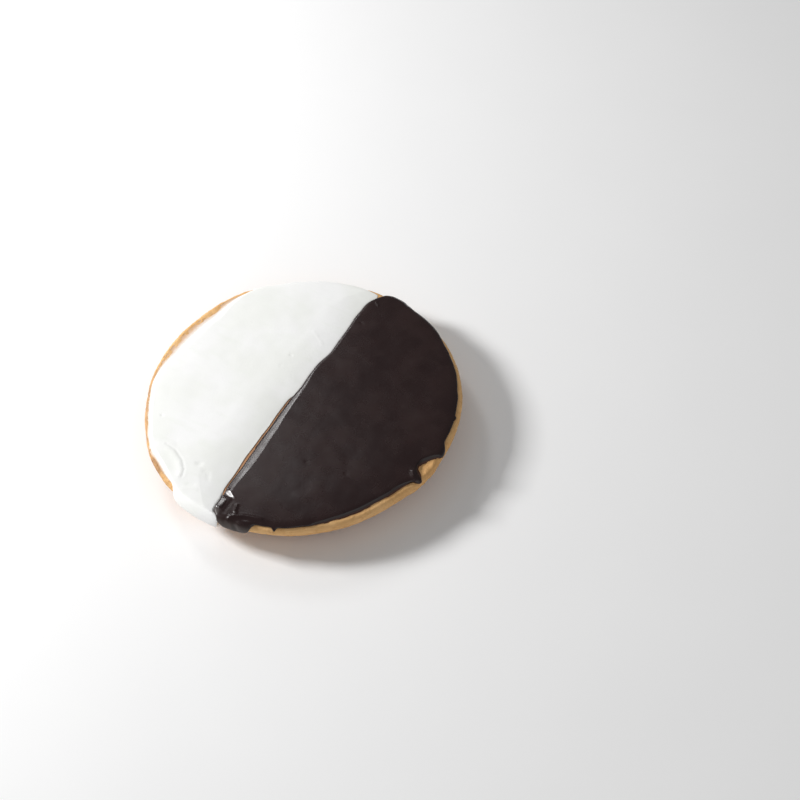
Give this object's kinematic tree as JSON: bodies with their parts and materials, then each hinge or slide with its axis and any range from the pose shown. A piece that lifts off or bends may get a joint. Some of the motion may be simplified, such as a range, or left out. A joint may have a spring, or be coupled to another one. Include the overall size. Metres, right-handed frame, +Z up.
{
  "type": "black and white cookie",
  "caption": "Round soft cake cookie with a domed base and a flat top, iced white on one half and with chocolate on the other.",
  "frame": {"origin": "middle of the flat spot that the domed underside rests on", "axes": "+Z up through the iced top; the seam between the icings runs along Y, with the chocolate half at +X and the white half at -X"},
  "size_m": [0.1007, 0.1034, 0.0126],
  "materials": {
    "cake": "soft baked cake, tan at the side and browner on the dome, matt and finely porous",
    "white_icing": "set white icing, smooth with a low sheen",
    "chocolate_icing": "set dark chocolate icing, smooth, semi-gloss"
  },
  "bodies": {
    "root": {"cake": "cake", "white_icing": "white_icing", "chocolate_icing": "chocolate_icing"}
  },
  "joints": []
}
